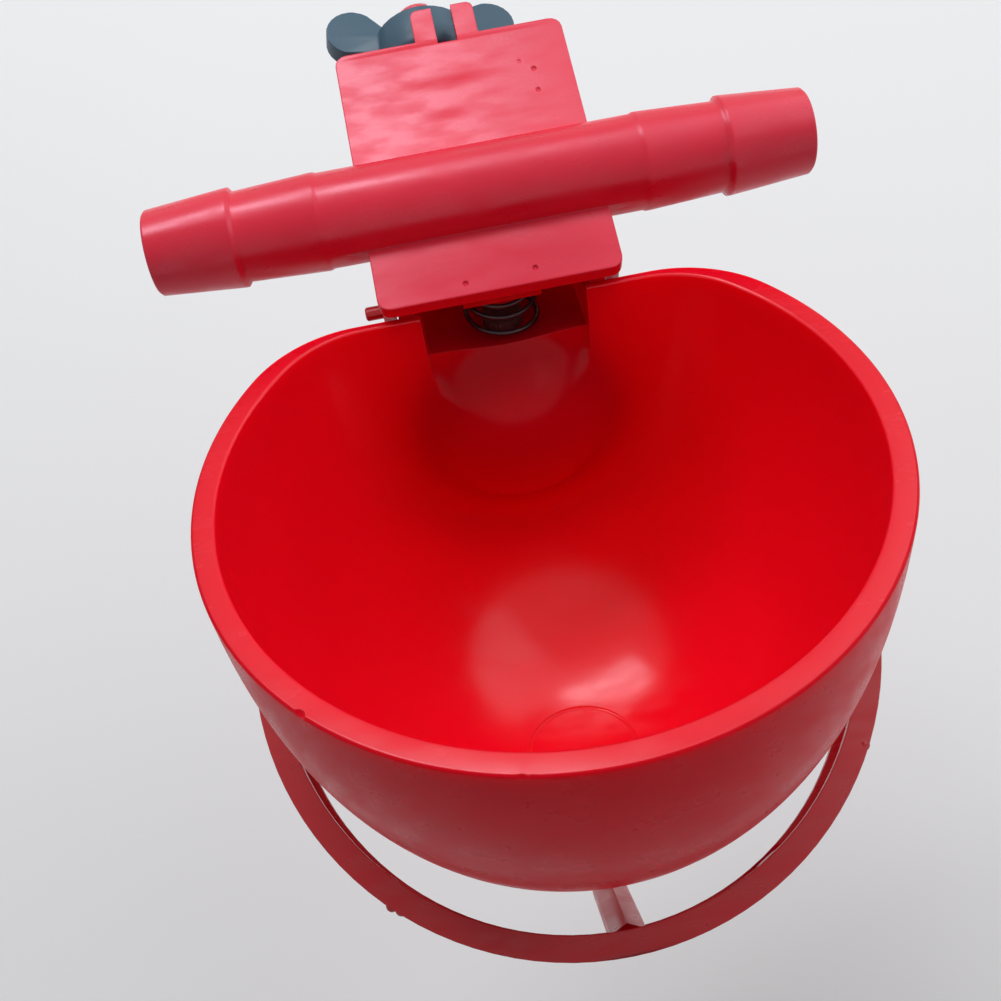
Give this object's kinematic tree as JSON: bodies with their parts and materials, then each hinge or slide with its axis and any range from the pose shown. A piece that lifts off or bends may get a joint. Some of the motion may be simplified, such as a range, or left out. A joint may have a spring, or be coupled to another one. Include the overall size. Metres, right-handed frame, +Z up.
{
  "type": "poultry drinking cup",
  "caption": "Red drinking cup for cage poultry: a round-bottomed bowl on a sprung hinge under a cover plate with a barbed tee pipe, inside a hooped guard, clamped to cage wire by a wing nut.",
  "frame": {"origin": "on the rear wall's flat face that bears on the cage, in the middle plane, 17.5 mm below the top of the cover plate", "axes": "+Z up, +Y points to the rear, into the cage wire; -Y is the front, where the bowl is; X runs along the tee pipe"},
  "size_m": [0.0948, 0.1466, 0.0926],
  "materials": {
    "red_plastic": "injection-moulded, glossy, a little scuffed",
    "blue_grey_plastic": "injection-moulded, satin",
    "brown_plastic": "injection-moulded, satin",
    "black_rubber": "plain",
    "blackened_wire": "dark spring wire"
  },
  "bodies": {
    "holder": {"housing": "red_plastic", "guard_ring": "red_plastic", "hinge_pin_left": "red_plastic", "hinge_pin_right": "red_plastic", "valve_nozzle": "brown_plastic", "lift_spring": "blackened_wire"},
    "drinking_bowl": {"bowl": "red_plastic", "valve_pad": "black_rubber"},
    "clamp_nut": {"wing_nut": "blue_grey_plastic"}
  },
  "joints": [
    {"name": "bowl_tilt", "type": "hinge", "parent": "holder", "child": "drinking_bowl", "pos_m": [0, -0.0408, 0.01127], "axis": [1, 0, 0], "range_deg": [0, 10], "stiffness_Nm_per_rad": 0.085, "springref_deg": -14.32, "deforming": ["lift_spring"]},
    {"name": "nut_turn", "type": "hinge", "parent": "holder", "child": "clamp_nut", "pos_m": [-0.0033, 0.0066, 0.007], "axis": [0, 1, 0], "continuous": true}
  ]
}
